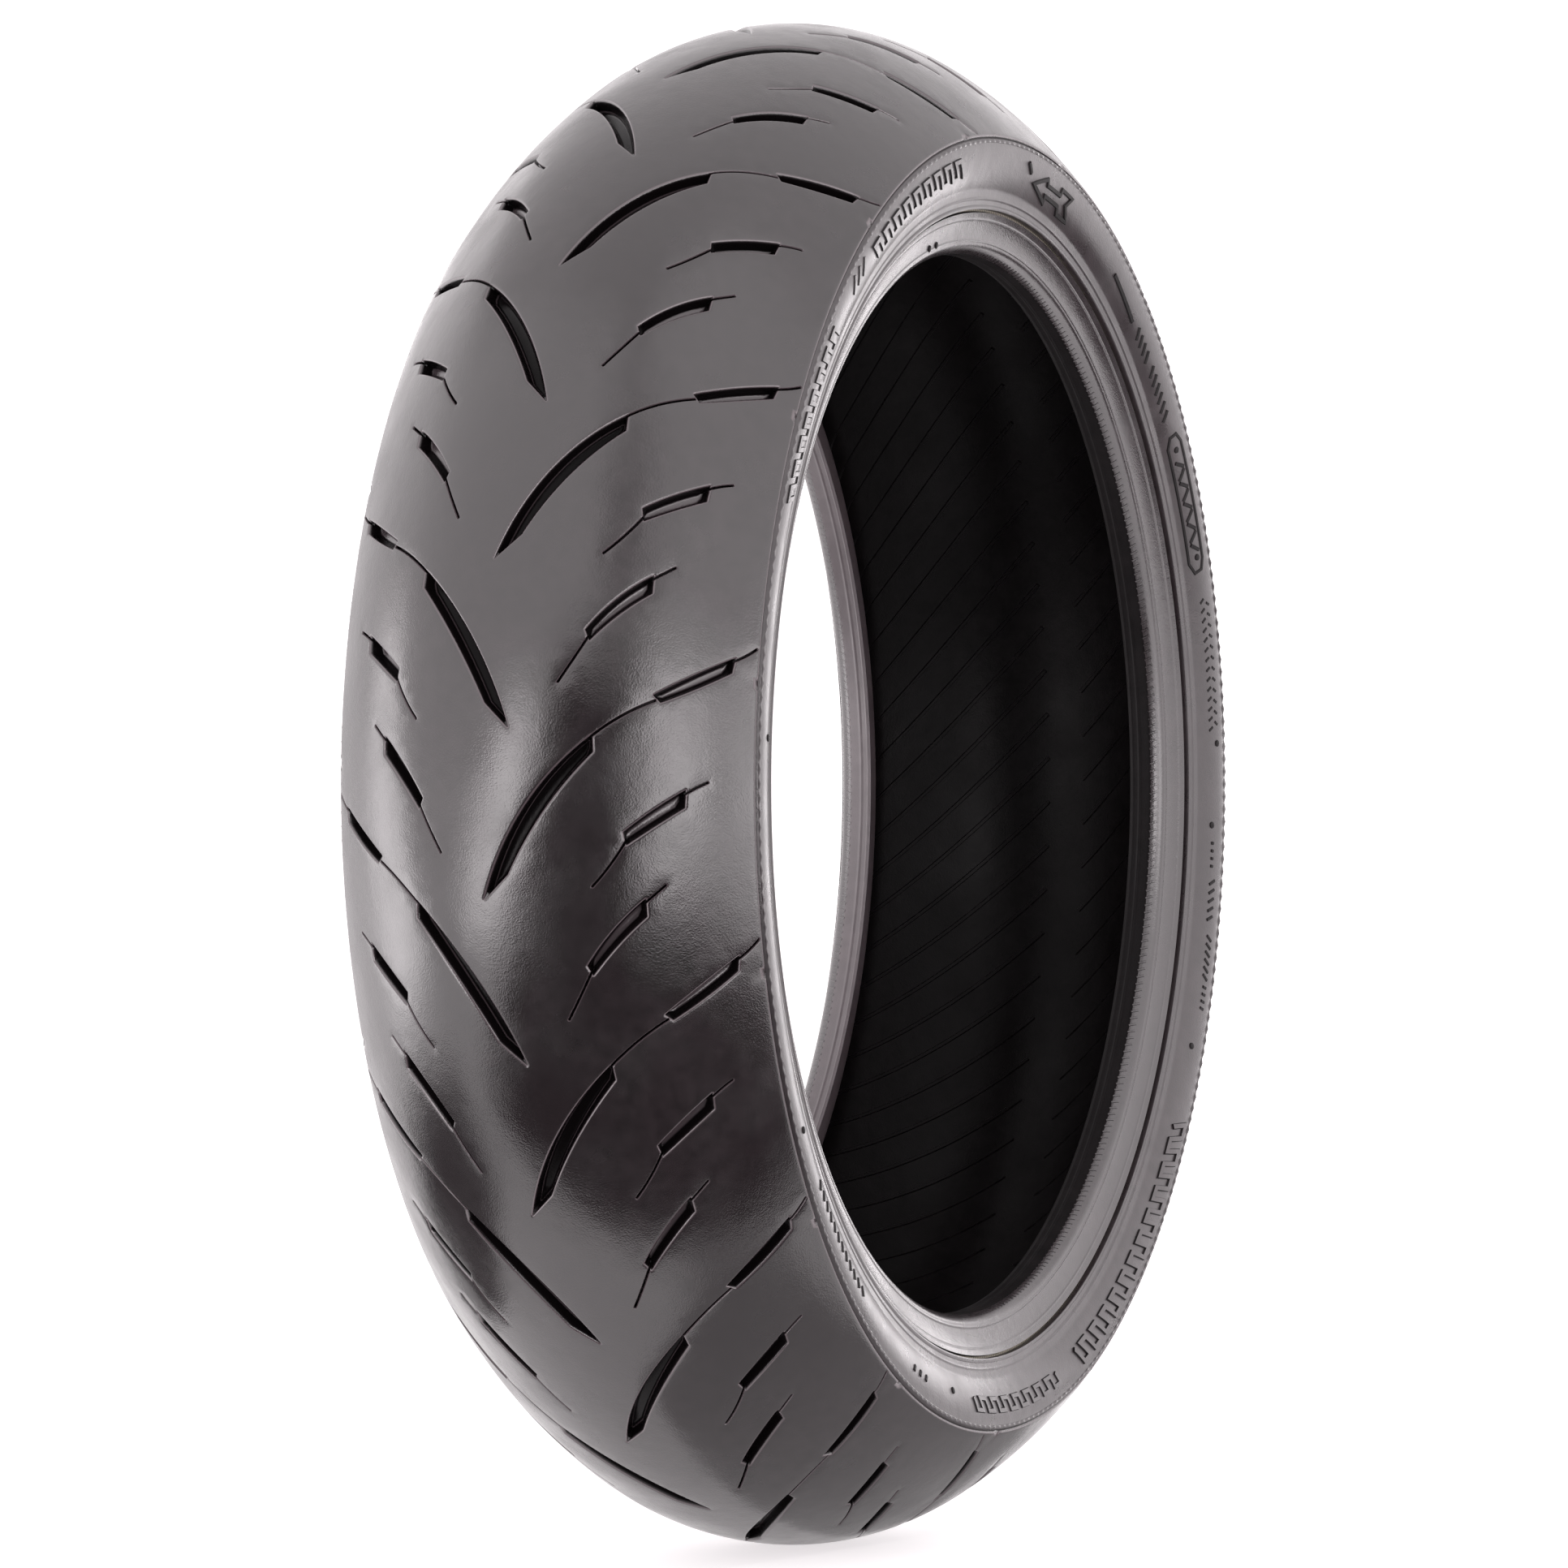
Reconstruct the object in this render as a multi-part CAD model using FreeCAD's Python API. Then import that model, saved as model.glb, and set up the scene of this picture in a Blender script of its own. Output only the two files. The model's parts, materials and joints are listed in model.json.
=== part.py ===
import FreeCAD, Part
import math
import os

# A tubeless radial motorcycle tire, size 190/50-17, unmounted.
# The wheel axis is Y and the origin is the wheel's centre. +Z is up and +X is the way the tire travels.
# Every layer is a ring: a flat cross-section turned once round the Y axis.
# In a cross-section, "radius" is the distance from the wheel axis and "across" is the distance
# from the middle plane of the tire.
# All sizes are millimetres and all angles are degrees.

Vector = FreeCAD.Vector
ORIGIN = Vector(0, 0, 0)
WHEEL_AXIS = Vector(0, 1, 0)

# Outside of the tire
CROWN_RADIUS = 310.2
CROWN_ARC = 90.0  # the tread's curve in cross-section, near its middle
CROWN_ARC_END = 32.0
SHOULDER_ARC = 160.0  # the flatter curve beyond it
TREAD_EDGE_ANGLE = 50.75

# Layers from the tread's surface inwards
CAP_THICKNESS = 7.5
BASE_THICKNESS = 1.0
BELT_THICKNESS = 0.9
BELT_COUNT = 3
PLY_THICKNESS = 0.8
LINER_THICKNESS = 1.0
CHAFER_THICKNESS = 0.6
WRAP_THICKNESS = 0.4

# The sidewall's outer curve and the rim line, a fine ridge that stands just clear of the wheel rim
SIDEWALL_MIDDLE = (251.0, 86.4)
SIDEWALL_LOW = (240.5, 82.0)
RIM_LINE_HEIGHT = 0.8  # how far the ridge stands out
RIM_LINE_WIDTH = 1.8

# Bead: the part that seats on the wheel rim
SEAT_RADIUS = 215.0  # a 17 inch bead seat, less the interference that makes it grip
SEAT_INNER_EDGE = 60.5
SEAT_OUTER_EDGE = 69.0
HEEL = (218.5, 74.4)
HEEL_MIDDLE = (216.2, 72.1)
FLANGE_MIDDLE = (225.0, 76.0)  # the hollow that clears the wheel's flange
CUSHION_THICKNESS = 0.9  # on the inner side of the bead
FLANGE_THICKNESS = 2.1  # at the rim line

# Bead wire bundle
WIRE_DIAMETER = 1.25
WIRE_SPACING = 1.28
WIRES_IN_ROWS = (4, 5, 4)
BUNDLE_RADIUS = 220.85  # from the wheel axis to the middle row
BUNDLE_ACROSS = 68.15
FILLER_FOOT = 222.6  # the filler stands on the bundle at this radius

# The route that the two plies follow, from the crown round the bead wires and up again.
# Each entry is (bend radius, turn angle), or (0, length) for a straight stretch.
# A positive bend curls towards the wheel axis and a negative one curls away from the cavity.
BELT_TOTAL = BELT_THICKNESS * BELT_COUNT
CAP_INSIDE = BELT_TOTAL + BASE_THICKNESS  # offset of the cap's inner face from the ply route
TREAD_SURFACE = CAP_INSIDE + CAP_THICKNESS  # offset of the tread's surface from the ply route
CROWN_BEND = CROWN_ARC - TREAD_SURFACE
SHOULDER_BEND = SHOULDER_ARC - TREAD_SURFACE
BASE_END_ANGLE = 48.0
FILLER_TIP_ANGLE = 112.0
SIDE_ANGLE = 130.0
INNER_FACE_ANGLE = 100.0
TURN_UP_ANGLE = -74.0
PLY_ROUTE = (
    (CROWN_BEND, CROWN_ARC_END),
    (SHOULDER_BEND, BASE_END_ANGLE - CROWN_ARC_END),
    (18.6, FILLER_TIP_ANGLE - BASE_END_ANGLE),
    (18.6, SIDE_ANGLE - FILLER_TIP_ANGLE),
    (0, 12.0),
    (-6.0, INNER_FACE_ANGLE - SIDE_ANGLE),
    (0, 2.6),
    (-2.5, -INNER_FACE_ANGLE),
    (0, 2.5),
    (-2.5, TURN_UP_ANGLE),
    (0, 14.0),
    (0, 3.0),
    (0, 3.0),
)
# Places on the route, as the number of entries that lead up to them
AT_BASE_END = 2
AT_FILLER_TIP = 3
AT_LINER_END = 5
AT_TOE = 7
AT_RIM_LINE = 11
AT_INNER_PLY_END = 12
AT_OUTER_PLY_END = 13

# Belts end one after another, each a little short of the one below it
BELT_END_ANGLES = (45.5, 44.5, 43.5)
EDGE_STRIP_END = 47.0

# Tread pattern. It repeats round the tire, and each half mirrors the other, half a repeat further on.
# Corners are (degrees round the tire from the main groove's tip, millimetres across the tread's surface).
PATTERN_REPEATS = 15
PATTERN_START = -8.0
REPEAT_ANGLE = 360.0 / PATTERN_REPEATS
MAIN_GROOVE = {
    "depth": 6.0,
    "leading": ((0.0, -5.2), (5.3, 8.2), (11.5, 37.8)),
    "trailing": ((10.3, 38.2), (6.1, 19.2), (1.7, 4.6)),
}
SHOULDER_GROOVE = {
    "depth": 5.0,
    "leading": ((14.6, 60.8), (16.1, 74.0), (18.1, 92.3)),
    "trailing": ((16.9, 91.3), (15.2, 75.8), (14.1, 63.6)),
}
SHORT_GROOVE_NEAR = {
    "depth": 5.0,
    "leading": ((19.0, 33.4), (21.1, 42.6), (23.5, 57.2)),
    "trailing": ((22.2, 57.3), (20.1, 44.2), (18.3, 35.2)),
}
SHORT_GROOVE_FAR = {
    "depth": 5.0,
    "leading": ((28.5, 49.8), (30.0, 61.0), (31.5, 74.0)),
    "trailing": ((30.2, 73.6), (28.8, 61.2), (27.6, 50.9)),
}
GROOVES = (MAIN_GROOVE, SHOULDER_GROOVE, SHORT_GROOVE_NEAR, SHORT_GROOVE_FAR)
CUTTER_REACH = 30.0  # how far a groove cutter runs each way before it is trimmed to depth
CUTTER_RISE = 4.0  # how far it stands above the tread


# Cross-section geometry


def section_point(radius, across):
    return Vector(0, across, radius)


def outward(angle):
    """The direction square to the route where it has turned by this angle."""
    turn = math.radians(angle)
    return Vector(0, math.sin(turn), math.cos(turn))


def along(angle):
    turn = math.radians(angle)
    return Vector(0, math.cos(turn), -math.sin(turn))


def arc(start, middle, end):
    return Part.Arc(start, middle, end).toShape()


def line(start, end):
    return Part.LineSegment(start, end).toShape()


def walk(route, offset):
    """Follow a route from the crown, shifted sideways by offset. Returns its edges."""
    position = section_point(CROWN_RADIUS - TREAD_SURFACE, 0)
    angle = 0.0
    edges = []
    for bend, amount in route:
        if bend == 0:
            shift = outward(angle) * offset
            step = along(angle) * amount
            edges.append(line(position + shift, position + step + shift))
            position = position + step
        else:
            centre = position - outward(angle) * bend
            places = [angle, angle + amount / 2, angle + amount]
            edges.append(arc(*(centre + outward(a) * (bend + offset) for a in places)))
            angle = angle + amount
            position = centre + outward(angle) * bend
    return edges


def start_of(edge):
    return edge.valueAt(edge.FirstParameter)


def end_of(edge):
    return edge.valueAt(edge.LastParameter)


def place(count, offset):
    """The point that this many route entries lead to, shifted sideways by offset."""
    return end_of(walk(PLY_ROUTE[:count], offset)[-1])


def crown_route(end_angle):
    """The route over the crown, ending on the shoulder where it has turned by end_angle."""
    return ((CROWN_BEND, CROWN_ARC_END), (SHOULDER_BEND, end_angle - CROWN_ARC_END))


def face_of(edges):
    return Part.Face(Part.Wire(Part.sortEdges(edges)[0]))


def strip(route, low, high, first=0):
    """The face between two offsets of a route, leaving out the entries before first."""
    inner = walk(route, low)[first:]
    outer = walk(route, high)[first:]
    ends = [
        line(start_of(inner[0]), start_of(outer[0])),
        line(end_of(inner[-1]), end_of(outer[-1])),
    ]
    return face_of(inner + outer + ends)


def mirrored(shape):
    return shape.mirror(ORIGIN, WHEEL_AXIS)


def strip_over_crown(route, low, high):
    """The same face, running over the crown from one side of the tire to the other."""
    inner = walk(route, low)
    outer = walk(route, high)
    half = inner + outer + [line(end_of(inner[-1]), end_of(outer[-1]))]
    return face_of(half + [mirrored(edge) for edge in half])


def ring(face):
    solid = face.revolve(ORIGIN, WHEEL_AXIS, 360)
    if solid.Volume < 0:
        solid.reverse()
    return solid


def ring_over_crown(route, low, high):
    return ring(strip_over_crown(route, low, high))


# Tread, belts and plies


def make_tread_base():
    """The rubber between the cap and the belts. It also closes over the belts' ends."""
    face = strip_over_crown(crown_route(BASE_END_ANGLE), 0, CAP_INSIDE)
    belts = strip_over_crown(crown_route(EDGE_STRIP_END), 0, BELT_TOTAL)
    return ring(face.cut(belts).Faces[0])


def make_belt(number):
    """One of the belts, counted outwards from the plies."""
    low = number * BELT_THICKNESS
    return ring_over_crown(crown_route(BELT_END_ANGLES[number]), low, low + BELT_THICKNESS)


def make_edge_strip():
    """The rubber strip that covers the stepped ends of the belts."""
    face = strip(crown_route(EDGE_STRIP_END), 0, BELT_TOTAL)
    for number, end_angle in enumerate(BELT_END_ANGLES):
        low = number * BELT_THICKNESS
        face = face.cut(strip(crown_route(end_angle), low, low + BELT_THICKNESS))
    return ring(face.Faces[0])


def make_outer_ply():
    return ring_over_crown(PLY_ROUTE[:AT_OUTER_PLY_END], -PLY_THICKNESS, 0)


def make_inner_ply():
    return ring_over_crown(PLY_ROUTE[:AT_INNER_PLY_END], -2 * PLY_THICKNESS, -PLY_THICKNESS)


def make_liner():
    outside = -2 * PLY_THICKNESS
    return ring_over_crown(PLY_ROUTE[:AT_LINER_END], outside - LINER_THICKNESS, outside)


# Bead


def bead_core_face():
    """The space that the plies wrap: the wire bundle, its wrap and the filler."""
    edges = walk(PLY_ROUTE[:AT_OUTER_PLY_END], 0)[AT_FILLER_TIP:]
    tip = line(end_of(edges[-1]), start_of(edges[0]))
    return face_of(edges + [tip])


def above(radius):
    """A rectangle of the cross-section that holds everything beyond this radius."""
    far = CROWN_RADIUS
    corners = [(radius, 0), (far, 0), (far, far), (radius, far), (radius, 0)]
    return Part.Face(Part.makePolygon([section_point(*corner) for corner in corners]))


def make_bead_filler():
    return ring(bead_core_face().common(above(FILLER_FOOT)).Faces[0])


def make_bead_wrap():
    """A fabric strip folded up both sides of the wire bundle, as far as the filler's foot."""
    inside = walk(PLY_ROUTE[:AT_OUTER_PLY_END], WRAP_THICKNESS)[AT_FILLER_TIP:]
    tip = line(end_of(inside[-1]), start_of(inside[0]))
    channel = bead_core_face().cut(face_of(inside + [tip])).cut(above(FILLER_FOOT))
    return ring(channel.Faces[0])


def make_wire_bundle():
    """Rows of steel wire hoops, packed like honeycomb."""
    hoops = []
    row_gap = WIRE_SPACING * math.sin(math.radians(60))
    middle_row = (len(WIRES_IN_ROWS) - 1) / 2
    for row, count in enumerate(WIRES_IN_ROWS):
        radius = BUNDLE_RADIUS + (row - middle_row) * row_gap
        for number in range(count):
            across = BUNDLE_ACROSS + (number - (count - 1) / 2) * WIRE_SPACING
            centre = Vector(0, across, 0)
            hoops.append(Part.makeTorus(radius, WIRE_DIAMETER / 2, centre, WHEEL_AXIS))
    return Part.makeCompound(hoops)


def make_chafer():
    outside = -2 * PLY_THICKNESS
    route = PLY_ROUTE[:AT_RIM_LINE]
    return ring(strip(route, outside - CHAFER_THICKNESS, outside, AT_LINER_END))


def rim_line_foot():
    """Where the joint between rim cushion and sidewall comes out, just under the rim line."""
    return place(AT_RIM_LINE, -2 * PLY_THICKNESS - CHAFER_THICKNESS - FLANGE_THICKNESS)


def make_rim_cushion():
    """The hard rubber that touches the wheel rim: flange hollow, heel, seat and toe."""
    offset = -2 * PLY_THICKNESS - CHAFER_THICKNESS
    hidden = walk(PLY_ROUTE[:AT_RIM_LINE], offset)[AT_LINER_END:]
    cavity_side = walk(PLY_ROUTE[:AT_TOE], offset - CUSHION_THICKNESS)[AT_LINER_END:]
    top = rim_line_foot()
    heel = section_point(*HEEL)
    seat_outer = section_point(SEAT_RADIUS, SEAT_OUTER_EDGE)
    toe = section_point(SEAT_RADIUS, SEAT_INNER_EDGE)
    outside = [
        line(end_of(hidden[-1]), top),
        arc(top, section_point(*FLANGE_MIDDLE), heel),
        arc(heel, section_point(*HEEL_MIDDLE), seat_outer),
        line(seat_outer, toe),
        line(toe, end_of(cavity_side[-1])),
        line(start_of(cavity_side[0]), start_of(hidden[0])),
    ]
    return ring(face_of(hidden + cavity_side + outside))


def sidewall_inner_edges():
    """The sidewall's hidden side: down the ply, over the filler's tip and down the turned-up plies."""
    shoulder = walk(PLY_ROUTE[:AT_FILLER_TIP], 0)[AT_BASE_END:]
    high_turn_up = walk(PLY_ROUTE[:AT_OUTER_PLY_END], -PLY_THICKNESS)[AT_INNER_PLY_END:]
    low_turn_up = walk(PLY_ROUTE[:AT_INNER_PLY_END], -2 * PLY_THICKNESS)[AT_RIM_LINE:]
    steps = [
        line(end_of(shoulder[-1]), place(AT_OUTER_PLY_END, 0)),
        line(place(AT_OUTER_PLY_END, 0), end_of(high_turn_up[-1])),
        line(start_of(high_turn_up[0]), end_of(low_turn_up[-1])),
    ]
    return shoulder + high_turn_up + low_turn_up + steps


def sidewall_outer_edges():
    """The sidewall's visible side: from the tread's edge down to the rim line's ridge."""
    tread_edge = end_of(walk(crown_route(TREAD_EDGE_ANGLE), TREAD_SURFACE)[-1])
    low = section_point(*SIDEWALL_LOW)
    foot = rim_line_foot()
    ridge_low = foot + Vector(0, RIM_LINE_HEIGHT, 0)
    ridge_high = ridge_low + Vector(0, 0, RIM_LINE_WIDTH)
    return [
        arc(tread_edge, section_point(*SIDEWALL_MIDDLE), low),
        line(low, ridge_high),
        line(ridge_high, ridge_low),
        line(ridge_low, foot),
        line(foot, place(AT_RIM_LINE, -2 * PLY_THICKNESS)),
    ]


def make_sidewall():
    cap_inside = walk(crown_route(TREAD_EDGE_ANGLE), CAP_INSIDE)
    base_inside = walk(crown_route(BASE_END_ANGLE), CAP_INSIDE)
    tread_edge = end_of(walk(crown_route(TREAD_EDGE_ANGLE), TREAD_SURFACE)[-1])
    closing = [
        line(tread_edge, end_of(cap_inside[-1])),
        line(end_of(cap_inside[-1]), end_of(base_inside[-1])),
        line(end_of(base_inside[-1]), place(AT_BASE_END, 0)),
    ]
    face = face_of(sidewall_inner_edges() + sidewall_outer_edges() + closing)
    cap = strip(crown_route(TREAD_EDGE_ANGLE), CAP_INSIDE, TREAD_SURFACE)
    return ring(face.cut(cap).Faces[0])


# Tread pattern


def tread_point(degrees_round, across_surface, height=0.0):
    """A point above the tread, from the distance across its curved surface."""
    first_arc = CROWN_ARC * math.radians(CROWN_ARC_END)
    distance = abs(across_surface)
    if distance <= first_arc:
        tilt = math.degrees(distance / CROWN_ARC)
        centre = section_point(CROWN_RADIUS - CROWN_ARC, 0)
        spot = centre + outward(tilt) * (CROWN_ARC + height)
    else:
        tilt = CROWN_ARC_END + math.degrees((distance - first_arc) / SHOULDER_ARC)
        centre = section_point(CROWN_RADIUS - CROWN_ARC, 0)
        centre = centre + outward(CROWN_ARC_END) * (CROWN_ARC - SHOULDER_ARC)
        spot = centre + outward(tilt) * (SHOULDER_ARC + height)
    side = math.copysign(1, across_surface)
    turn = math.radians(degrees_round)
    return Vector(spot.z * math.cos(turn), side * spot.y, spot.z * math.sin(turn))


def groove_frame(groove):
    """The middle of a groove on the tread's surface, and the direction straight out of it."""
    corners = groove["leading"] + groove["trailing"]
    middle = [sum(values) / len(corners) for values in zip(*corners)]
    surface = tread_point(*middle)
    normal = (tread_point(*middle, height=1.0) - surface).normalize()
    return surface, normal


def depth_band(depth):
    """A ring from the floor of the grooves to just above the tread."""
    route = crown_route(TREAD_EDGE_ANGLE)
    return ring_over_crown(route, TREAD_SURFACE - depth, TREAD_SURFACE + CUTTER_RISE)


def groove_cutter(groove):
    """The rubber that one groove takes away, on the left half of the tread."""
    surface, normal = groove_frame(groove)
    floor = surface - normal * CUTTER_REACH

    def dropped(corner):
        spot = tread_point(*corner)
        return spot - normal * (spot - floor).dot(normal)

    leading = [dropped(corner) for corner in groove["leading"]]
    trailing = [dropped(corner) for corner in groove["trailing"]]
    edges = [
        arc(*leading),
        line(leading[-1], trailing[0]),
        arc(*trailing),
        line(trailing[-1], leading[0]),
    ]
    column = face_of(edges).extrude(normal * 2 * CUTTER_REACH)
    return column.common(depth_band(groove["depth"])).Solids[0]


def turned(shape, degrees_round):
    """The shape moved round the tire, so that its places in the pattern grow by this angle."""
    copy = shape.copy()
    copy.rotate(ORIGIN, WHEEL_AXIS, -degrees_round)
    return copy


def all_groove_cutters():
    left = [groove_cutter(groove) for groove in GROOVES]
    right = [turned(mirrored(cutter), REPEAT_ANGLE / 2) for cutter in left]
    cutters = []
    for repeat in range(PATTERN_REPEATS):
        angle = PATTERN_START + repeat * REPEAT_ANGLE
        cutters += [turned(cutter, angle) for cutter in left + right]
    return cutters


def make_tread_cap():
    plain = ring_over_crown(crown_route(TREAD_EDGE_ANGLE), CAP_INSIDE, TREAD_SURFACE)
    return plain.cut(all_groove_cutters())


# Files


def save(name, shape):
    shape.exportStep("parts/" + name + ".step")


def save_pair(name, shape):
    save(name + "_left", shape)
    save(name + "_right", mirrored(shape))


os.makedirs("parts", exist_ok=True)
save("tread_cap", make_tread_cap())
save("tread_base", make_tread_base())
save("breaker_belt_inner", make_belt(0))
save("breaker_belt_outer", make_belt(1))
save("jointless_belt", make_belt(2))
save("carcass_ply_outer", make_outer_ply())
save("carcass_ply_inner", make_inner_ply())
save("inner_liner", make_liner())
save_pair("belt_edge_strip", make_edge_strip())
save_pair("bead_wire_bundle", make_wire_bundle())
save_pair("bead_wrap", make_bead_wrap())
save_pair("bead_filler", make_bead_filler())
save_pair("chafer", make_chafer())
save_pair("rim_cushion", make_rim_cushion())
save_pair("sidewall", make_sidewall())
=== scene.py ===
import json
import math

import bpy
import numpy as np
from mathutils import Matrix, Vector
from mathutils.geometry import delaunay_2d_cdt

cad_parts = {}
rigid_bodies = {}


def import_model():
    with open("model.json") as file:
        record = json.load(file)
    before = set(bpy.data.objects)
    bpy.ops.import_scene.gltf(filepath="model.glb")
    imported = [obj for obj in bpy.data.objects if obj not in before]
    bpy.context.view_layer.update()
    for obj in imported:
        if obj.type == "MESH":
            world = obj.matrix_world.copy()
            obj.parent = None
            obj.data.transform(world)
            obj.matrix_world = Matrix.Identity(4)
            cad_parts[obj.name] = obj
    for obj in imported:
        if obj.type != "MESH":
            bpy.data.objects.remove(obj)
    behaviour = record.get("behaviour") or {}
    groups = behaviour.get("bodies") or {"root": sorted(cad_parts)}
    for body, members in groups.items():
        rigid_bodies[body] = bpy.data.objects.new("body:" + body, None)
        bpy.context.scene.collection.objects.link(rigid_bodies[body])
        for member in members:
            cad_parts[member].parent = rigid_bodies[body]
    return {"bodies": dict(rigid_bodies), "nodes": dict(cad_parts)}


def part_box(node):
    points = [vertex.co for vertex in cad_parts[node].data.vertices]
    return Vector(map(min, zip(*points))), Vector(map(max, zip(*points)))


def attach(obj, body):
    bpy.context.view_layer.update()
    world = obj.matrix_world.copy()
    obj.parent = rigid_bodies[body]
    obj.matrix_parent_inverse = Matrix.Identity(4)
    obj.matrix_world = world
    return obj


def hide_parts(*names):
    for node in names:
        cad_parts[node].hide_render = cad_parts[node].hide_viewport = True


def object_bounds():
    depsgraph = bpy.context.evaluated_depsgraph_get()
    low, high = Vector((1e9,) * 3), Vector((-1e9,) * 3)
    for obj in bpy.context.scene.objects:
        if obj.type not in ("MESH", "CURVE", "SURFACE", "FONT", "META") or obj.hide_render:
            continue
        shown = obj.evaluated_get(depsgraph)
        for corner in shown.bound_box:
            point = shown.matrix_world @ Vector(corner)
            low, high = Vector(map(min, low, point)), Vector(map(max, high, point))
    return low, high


# A tubeless radial motorcycle tire, unmounted, standing on its tread on a pale floor.
# The wheel axis is Y, +Z is up and +X is the way the tire travels.
# Shapes are worked out in millimetres and degrees, and become metres when a mesh is made.
# In a cross-section, "radius" is the distance from the wheel axis and "side" is the distance
# from the middle plane. "Round" is the angle round the tire and "across" is the distance over
# its curved surface, both counted towards the left side as positive.

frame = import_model()
cad_low, cad_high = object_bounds()

MM = 0.001
BODY = next(iter(frame["bodies"]))

# Cross-section, as the CAD part has it
CROWN_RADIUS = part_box("tread_cap")[1].z / MM
CROWN_ARC = 90.0
CROWN_ARC_END = math.radians(32.0)
SHOULDER_ARC = 160.0
TREAD_EDGE = math.radians(50.75)
FIRST_ARC_LENGTH = CROWN_ARC * CROWN_ARC_END
HALF_TREAD = FIRST_ARC_LENGTH + SHOULDER_ARC * (TREAD_EDGE - CROWN_ARC_END)
CAP_THICKNESS = 7.5
CAVITY_DEPTH = 13.8  # from the tread's surface to the cavity, through every layer
LINER_THICKNESS = 1.0
BUTTRESS = (247.96, 59.67)  # middle of the tight curve that leads from the shoulder to the bead
BUTTRESS_BEND = 16.0
BUTTRESS_START = math.radians(48.0)
BUTTRESS_END = math.radians(130.0)
LOWER_STRAIGHT = 12.0  # from the buttress curve down to the bead
SIDEWALL_TOP = (262.1, 86.8)
SIDEWALL_MIDDLE = (251.0, 86.4)
SIDEWALL_LOW = (240.5, 82.0)
RIDGE_TOP = (234.4, 80.6)
RIDGE_LOW = (232.6, 80.6)
RIDGE_FOOT = (232.6, 79.8)
FLANGE_MIDDLE = (225.0, 76.0)
HEEL = (218.5, 74.4)
HEEL_MIDDLE = (216.2, 72.1)
SEAT_OUTER = (215.0, 69.0)
SEAT_INNER = (215.0, 60.5)

# Tread pattern: corners are (degrees round, millimetres across), from the main groove's tip
REPEATS = 15
REPEAT_ANGLE = 360.0 / REPEATS
PATTERN_START = -8.0
SHALLOW_DEPTH = 5.0
MAIN_GROOVE = {
    "depth": 6.0,
    "leading": ((0.0, -5.2), (5.3, 8.2), (11.5, 37.8)),
    "trailing": ((10.3, 38.2), (6.1, 19.2), (1.7, 4.6)),
}
SHOULDER_GROOVE = {
    "depth": SHALLOW_DEPTH,
    "leading": ((14.6, 60.8), (16.1, 74.0), (18.1, 92.3)),
    "trailing": ((16.9, 91.3), (15.2, 75.8), (14.1, 63.6)),
}
SHORT_GROOVE_NEAR = {
    "depth": SHALLOW_DEPTH,
    "leading": ((19.0, 33.4), (21.1, 42.6), (23.5, 57.2)),
    "trailing": ((22.2, 57.3), (20.1, 44.2), (18.3, 35.2)),
}
SHORT_GROOVE_FAR = {
    "depth": SHALLOW_DEPTH,
    "leading": ((28.5, 49.8), (30.0, 61.0), (31.5, 74.0)),
    "trailing": ((30.2, 73.6), (28.8, 61.2), (27.6, 50.9)),
}
GROOVES = (MAIN_GROOVE, SHOULDER_GROOVE, SHORT_GROOVE_NEAR, SHORT_GROOVE_FAR)
SIPES = (
    ((11.4, 37.5), (12.9, 48.5), (14.2, 61.5)),
    ((17.8, 91.5), (18.4, 96.5), (19.1, 100.9)),
    ((15.2, 24.2), (16.8, 29.4), (18.5, 34.6)),
    ((23.2, 56.8), (23.8, 61.0), (24.4, 65.2)),
    ((24.7, 37.3), (26.0, 43.6), (27.9, 50.8)),
    ((31.2, 73.6), (31.7, 78.2), (32.1, 82.8)),
)
EDGE_SIPE = SIPES[1]  # the nearest to the tread's edge
SEAM_GAP = 2.7  # how far the edge of one repeat stays from its main groove, in degrees

# Fineness of the tread's mesh
DEGREE = 5.2  # millimetres round the tread to a degree, near enough for the pattern's spacing
EDGE_STEPS = 36  # mesh steps along one repeat of the tread's edge
GRID_STEP = 5.0
GRID_MARGIN = 3.0  # from the tread's edges and the grooves
OUTLINE_STEP = 2.4
CORNER_STEP = 0.5  # radians between the points round a corner
U_TURN = 3.1  # radians from which a path runs back along itself
LINE_ERROR = 0.03  # how much too near a line beside it may come


# Tread surface


def tread_section(across, depth):
    """Radius and side of points under the tread's surface, from the distance across it."""
    distance = np.abs(across)
    beyond = distance > FIRST_ARC_LENGTH
    tilt = np.where(
        beyond,
        CROWN_ARC_END + (distance - FIRST_ARC_LENGTH) / SHOULDER_ARC,
        distance / CROWN_ARC,
    )
    bend = np.where(beyond, SHOULDER_ARC, CROWN_ARC)
    shift = SHOULDER_ARC - CROWN_ARC
    middle_radius = CROWN_RADIUS - CROWN_ARC - beyond * shift * math.cos(CROWN_ARC_END)
    middle_side = beyond * -shift * math.sin(CROWN_ARC_END)
    radius = middle_radius + (bend - depth) * np.cos(tilt)
    side = middle_side + (bend - depth) * np.sin(tilt)
    return radius, np.copysign(side, across)


def turn_round(radius, side, degrees_round):
    """Points in metres from their place in the cross-section and their angle round the tire."""
    turn = np.radians(degrees_round)
    return np.stack([radius * np.cos(turn), side, radius * np.sin(turn)], axis=-1) * MM


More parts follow.
